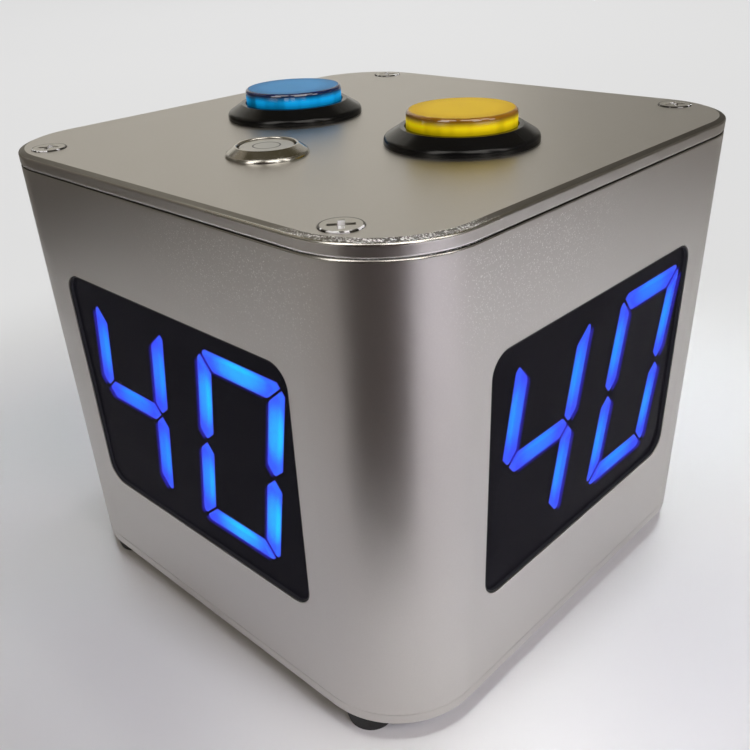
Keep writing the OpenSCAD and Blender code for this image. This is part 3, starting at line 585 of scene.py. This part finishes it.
def stroke_corners(letter):
    """Six corners of one stroke of a seven-stroke digit before it leans, by the digit's half sizes.

    One across, one upright and the middle stroke are worked out, and the others are their mirror images.
    """
    a, b = DIGIT_HALF
    t, e, c = STROKE, STROKE_GAP, STROKE_CORNER
    across = np.array([
        (-a + t + e, b - t), (-a + (c + e) / 2, b - (c - e) / 2), (-a + c, b),
        (a - c, b), (a - (c + e) / 2, b - (c - e) / 2), (a - t - e, b - t),
    ])
    upright = np.array([
        (-a, b - c), (-a + (c - e) / 2, b - (c + e) / 2), (-a + t, b - t - e),
        (-a + t, e + t / 2), (-a + t / 2, e), (-a, e + t / 2),
    ])
    middle = np.array([
        (-a + t / 2 + e, 0), (-a + t + e, t / 2), (a - t - e, t / 2),
        (a - t / 2 - e, 0), (a - t - e, -t / 2), (-a + t + e, -t / 2),
    ])
    return {
        "a": across, "b": upright * (-1, 1), "c": upright * (-1, -1), "d": across * (1, -1),
        "e": upright * (1, -1), "f": upright, "g": middle,
    }[letter]


def stroke_outline(place, letter, count=144, soften=2):
    """Evenly spaced points along a leaning stroke's outline, its corners rounded by a running mean."""
    corners = stroke_corners(letter)
    corners = np.column_stack([corners[:, 0] + LEAN * corners[:, 1], corners[:, 1]])
    loop = np.vstack([corners, corners[:1]])
    run = np.concatenate([[0], np.cumsum(np.hypot(*np.diff(loop, axis=0).T))])
    at = np.arange(count) / count * run[-1]
    line = np.column_stack([np.interp(at, run, loop[:, i]) for i in (0, 1)])
    line = sum(np.roll(line, k, axis=0) for k in range(-soften, soften + 1)) / (2 * soften + 1)
    return line + ((place - 0.5) * DIGIT_PITCH + DIGIT_SHIFT, DIGIT_RISE)


def stroke_patches(k, rows):
    """Patches over the lit strokes of one display, with each point's values across and along its stroke.

    Each point of an outline is drawn in to the stroke's spine. A row is given by its share of the way
    from spine to outline, and its depth.
    """
    share, depth = np.array(rows).T[:, :, None]
    flat, along = [], []
    for line in [stroke_outline(place, letter) for place in (0, 1) for letter in LIT[place]]:
        middle = line.mean(axis=0)
        way = np.linalg.svd(line - middle, full_matrices=False)[2][0]
        reach = (line - middle) @ way
        spine = np.ptp(reach) / 2 - STROKE / 2
        base = middle + np.clip(reach, -spine, spine)[:, None] * way
        flat.append(base + share[..., None] * (line - base))
        along.append(np.abs((flat[-1] - middle) @ way) / (np.ptp(reach) / 2))
    flat = np.array(flat)
    return on_face(k, flat[..., 0], flat[..., 1], depth), {"across": share, "along": np.array(along)}


def lit_strokes(k):
    """Solid strokes of one display, and the painted glow that each makes on the window."""
    points, values = stroke_patches(k, [
        *[(share, STROKE_FRONT) for share in (0.0, 0.35, 0.6, 0.8, 0.9, 1.0)],
        (1.0, STROKE_MID), (1.0, STROKE_BACK), (0.0, STROKE_BACK),
    ])
    piece = surface("glowing_strokes_" + FACES[k], points, "case", "lit_stroke", **values)
    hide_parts("lit_strokes_" + FACES[k])
    # Film of painted glow on the window before each stroke
    points, values = stroke_patches(k, [
        *[(share, HAZE_DEPTH) for share in (0.0, 0.4, 0.7, 0.9)], (1.0, HAZE_DEPTH + 0.005),
        *[(share, HAZE_DEPTH + 0.01) for share in (0.9, 0.4, 0.0)],
    ])
    surface("stroke_haze_" + FACES[k], points, "case", "glow_film", "lit_stroke", **values)


def window_outline(inset):
    """Points round a window drawn in on every side: a circle, its quarters moved out to the corners."""
    turn = np.linspace(0, 2 * math.pi, 128, endpoint=False) + math.pi / 128
    ray = np.array([np.cos(turn), np.sin(turn)])
    centre = (np.array(WINDOW_HALF) - WINDOW_R)[:, None] * np.sign(ray)
    return centre[:, None] + (WINDOW_R - inset) * ray[:, None]


def window_lens(k):
    """Flat clear plate with a rounded outline and a softened front edge, in a thin black seal.

    A row of the plate is given by its share of the way from the middle, how far its outline is drawn
    in, and its depth, and a row of the seal by the last two.
    """
    share, inset, depth = np.array([
        (0.0, 0.55, 0.10), (0.5, 0.55, 0.10), (0.9, 0.55, 0.10), (1.0, 0.55, 0.10), (1.0, 0.45, 0.13),
        (1.0, 0.40, 0.22), (1.0, 0.40, 0.86), (0.5, 0.40, 0.86), (0.0, 0.40, 0.86),
    ]).T[:, :, None]
    u, v = share * window_outline(inset)
    piece = surface("lens_" + FACES[k], on_face(k, u, v, depth)[None], "case", "smoked_window")
    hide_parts("window_" + FACES[k])
    inset, depth = np.array([
        (0.0, 0.20), (0.10, 0.14), (0.28, 0.14), (0.38, 0.20), (0.38, 0.88), (0.0, 0.88), (0.0, 0.20),
    ]).T[:, :, None]
    u, v = window_outline(inset)
    surface("seal_" + FACES[k], on_face(k, u, v, depth)[None], "case", "window_seal", "foot_rubber")


for face in range(len(FACES)):
    lit_strokes(face)
    window_lens(face)


def arc(middle, radius, start, end, steps=24):
    """Points of an arc: a middle plus a radius at each angle, from one in degrees to another."""
    turn = np.radians(np.linspace(start, end, steps))
    return np.array(middle) + radius * np.column_stack([np.cos(turn), np.sin(turn)])


# Power button, in millimetres: its head above the lid, and the bore, barrel and foot below
POWER_RISE = 2.1
POWER_BORE = 5.98
POWER_BARREL = 7.9
POWER_FOOT = -18.0


def power_ring():
    """Head and barrel of the power button, turned about its axis from a closed profile.

    The profile gives radius and height above the lid: barrel, groove for the seal, round shoulder, cone,
    round crest and mouth. Each point goes round a full circle.
    """
    low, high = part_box("power_body")
    middle = (low + high) / 2
    profile = np.vstack([
        [(POWER_BORE, POWER_FOOT), (POWER_BARREL, POWER_FOOT), (POWER_BARREL, 0.0)],
        [(8.15, 0.0), (8.15, 0.7), (8.7, 0.7), (8.7, 0.0), (8.96, 0.0)],
        arc((7.68, -0.2), 1.3, 9, 56),
        arc((6.58, 1.75), 0.35, 56, 180),
        [(6.23, 1.1), (POWER_BORE, 0.85), (POWER_BORE, POWER_FOOT)],
    ])
    radius, height = profile.T[:, :, None] * MM
    turn = np.linspace(0, 2 * math.pi, 160, endpoint=False)
    points = turned(middle.x, middle.y, radius, turn, high.z - POWER_RISE * MM + height)
    piece = surface("power_ring", points[None], "case", "polished_steel")
    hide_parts("power_body")


power_ring()


def return_spring(button, wire, turns=5, rings=40, sides=12):
    """Coil spring of a button, closed at its ends.

    The wire's middle goes round the button's axis and rises evenly, and a small circle goes round it.
    """
    low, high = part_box(button + "_spring")
    middle = (low + high) / 2
    mean = (high.x - low.x) / 2 - wire / 2
    share = np.concatenate([[0], np.linspace(0, 1, turns * rings + 1), [1]])[:, None]
    thick = np.where(np.arange(len(share)) % (len(share) - 1), wire / 2, 0)[:, None]
    around = np.linspace(0, 2 * math.pi, sides, endpoint=False)
    turn = 2 * math.pi * turns * share
    reach = mean + thick * np.cos(around)
    rise = low.z + wire / 2 + share * (high.z - low.z - wire)
    points = turned(middle.x, middle.y, reach, turn, rise + thick * np.sin(around))
    piece = surface(button + "_coil", points[None], "case", "polished_steel", "screw_steel")
    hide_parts(button + "_spring")
    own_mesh(piece)


# Each button's wire and travel, in millimetres
for button, wire, travel in [("blue", 0.9, 2.2), ("yellow", 0.9, 2.2), ("power", 0.6, 2.5)]:
    return_spring(button, wire * MM)


# Distance from the middle of the case over which the floor goes over to an even tone, in metres
EVEN_TONE = (0.12, 0.27)


def floor_paint(place):
    """Pale matt floor, which the camera sees as an even pale tone away from the case."""
    cloud = grain(place, 3.0, 2.0)
    x, y, _ = axis_parts(place)
    seen = place.node("LightPath")
    far = ((x * x + y * y) ** 0.5).step(*EVEN_TONE) * seen
    near = cloud.mix(rgb(0.74, 0.74, 0.74), rgb(0.78, 0.78, 0.78))
    return {
        "Base Color": far.mix(near, BLACK),
        "Roughness": 0.9,
        "Emission Color": far.mix(BLACK, rgb(0.72, 0.72, 0.72)),
        "Emission Strength": 1.0,
    }


def shade_sheet_paint(place):
    """Dark brown sheet that stands in for shade around the case."""
    cloud = grain(place, 40.0, 2.0)
    return {
        "Base Color": cloud.mix(rgb(0.045, 0.032, 0.028), rgb(0.055, 0.038, 0.032)),
        "Roughness": 1.0,
    }


def stage_sheet(name, points, paint):
    """Open sheet of the studio from rows and columns of points, each joined to the next of both."""
    rows, columns, _ = points.shape
    index = np.arange(rows * columns).reshape(rows, columns)
    quads = np.stack([index[:-1, :-1], index[:-1, 1:], index[1:, 1:], index[1:, :-1]], axis=-1)
    mesh = bpy.data.meshes.new(name)
    mesh.from_pydata(points.reshape(-1, 3), [], quads.reshape(-1, 4))
    mesh.shade_smooth()
    mesh.materials.append(finish(name, paint))
    made = bpy.data.objects.new(name, mesh)
    bpy.context.scene.collection.objects.link(made)
    return made


# Floor that turns up into a wall all round: radius and height of its profile, in metres
COVE = np.array([(0.0, 0.0), (0.5, 0.0), (2.0, 0.0), (2.35, 0.05), (2.6, 0.25), (2.7, 0.6), (2.7, 2.0)])
cove = turned(0.0, 0.0, COVE[:, :1], np.linspace(0, 2 * math.pi, 97), COVE[:, 1:] + cad_box[0].z)
stage_sheet("pale_floor", cove, floor_paint)


def dark_card(name, azimuth, rows):
    """Dark sheet standing in for shade, out of sight, from each row's reach, half width and height in
    metres.
    """
    turn = math.radians(azimuth)
    reach, half, height = np.array(rows).T[:, :, None]
    side = half * np.array([-1, 1])
    x = reach * math.sin(turn) + side * math.cos(turn)
    y = -reach * math.cos(turn) + side * math.sin(turn)
    stage_sheet(name, joined(x, y, height), shade_sheet_paint).visible_camera = False


dark_card("corner_card", 38, [
    (0.15, 0.05, 0.004), (0.35, 0.18, 0.006), (0.46, 0.27, 0.04),
    (0.53, 0.31, 0.14), (0.56, 0.34, 0.30), (0.57, 0.34, 0.50),
])
dark_card("left_card", -60, [(0.36, 0.12, 0.004), (0.62, 0.22, 0.004)])


# Lamps: two colours of light, and the point that the panels face and how far off they are, in metres
WHITE = (1.0, 1.0, 1.0)
WARM = (1.0, 0.96, 0.86)
PANEL_AIM = (0.0, 0.0, 0.06)
PANEL_FAR = 1.2


def lamp(name, azimuth, elevation, distance, size, watts, colour=WHITE, aim=PANEL_AIM, spread=180):
    """Soft panel at a compass angle and a height angle from its aim, and turned to it."""
    light = bpy.data.lights.new(name, "AREA")
    light.shape = "RECTANGLE"
    light.size, light.size_y = size
    light.energy = watts
    light.color = colour
    light.spread = math.radians(spread)
    made = bpy.data.objects.new(name, light)
    a = math.radians(azimuth)
    e = math.radians(elevation)
    back = np.array([math.sin(a) * math.cos(e), -math.cos(a) * math.cos(e), math.sin(e)])
    made.location = np.array(aim) + distance * back
    made.rotation_euler = (math.pi / 2 - e, 0.0, a)
    made.visible_camera = False
    bpy.context.scene.collection.objects.link(made)
    return made


def pool(name, azimuth, reach, watts, height=0.8, size=0.11, spread=42, colour=WHITE):
    """Small panel that hangs over the floor beside the case and lights a round patch of it."""
    a = math.radians(azimuth)
    under = (math.sin(a) * reach, -math.cos(a) * reach, 0.0)
    lamp(name, 0, 90, height, (size, size), watts, colour, under, spread).visible_glossy = False


lamp("back_panel", 235, 26, PANEL_FAR, (0.95, 0.95), 1.36, WARM)
lamp("back_side_panel", 204, 26, PANEL_FAR, (0.39, 0.95), 0.26, WARM)
# Each side has a low panel that lights it and a tall one that its metal mirrors
for name, azimuth, width, watts in [
    ("front", 0, 0.46, 0.9), ("near", 66, 0.58, 1.4), ("right", 105, 0.24, 0.62),
]:
    fill = lamp(name + "_fill", azimuth, 48, PANEL_FAR, (width, 0.36), watts, (1.0, 0.90, 0.78))
    fill.visible_glossy = False
    mirrored = lamp(name + "_window", azimuth, 45, PANEL_FAR, (width, 1.3), 8.2 * width, (1.0, 0.96, 0.90))
    mirrored.visible_diffuse = False
lamp("left_panel", 288, 40, PANEL_FAR, (0.8, 0.6), 0.25, (1.0, 0.89, 0.75))
pool("right_strip", 80, 0.42, 1.52, height=0.3, size=0.2, spread=180, colour=(0.90, 0.87, 1.0))
pool("back_right_pool", 167, 0.18, 0.26, colour=(0.92, 0.97, 1.0))
pool("left_pool", -80, 0.18, 0.14, colour=(0.85, 0.9, 1.0))
pool("front_pool", -20, 0.36, 0.036)
pool("corner_pool", 54, 0.10, 0.010, height=0.4, size=0.06, spread=20)
lamp("far_floor", 0, 90, 1.0, (1.2, 1.2), 8.0, aim=(-1.15, 1.2, 0.0), spread=100)

world = bpy.data.worlds.new("room")
bpy.context.scene.world = world
world.use_nodes = True
room = Shade(world.node_tree)
world.node_tree.nodes.clear()
background = room.node("Background", {"Color": rgb(0.06, 0.05, 0.028), "Strength": 1.0})
room.node("OutputWorld", {"Surface": background})

# Camera, from the photograph: place in metres, turn in degrees, lens for a 36 mm sensor
CAMERA_PLACE = (0.14136, -0.14681, 0.15485)
CAMERA_TURN = (59.668, 2.419, 43.383)
CAMERA_LENS = 40.386
CAMERA_SHIFT = (0.0038, 0.0477)
lens = bpy.data.cameras.new("camera")
lens.sensor_width = 36.0
lens.lens = CAMERA_LENS
lens.shift_x, lens.shift_y = CAMERA_SHIFT
lens.clip_start = 0.005
camera = bpy.data.objects.new("camera", lens)
camera.location = CAMERA_PLACE
camera.rotation_euler = [math.radians(turn) for turn in CAMERA_TURN]
bpy.context.scene.collection.objects.link(camera)
bpy.context.scene.camera = camera
bpy.context.scene.view_settings.view_transform = "Standard"
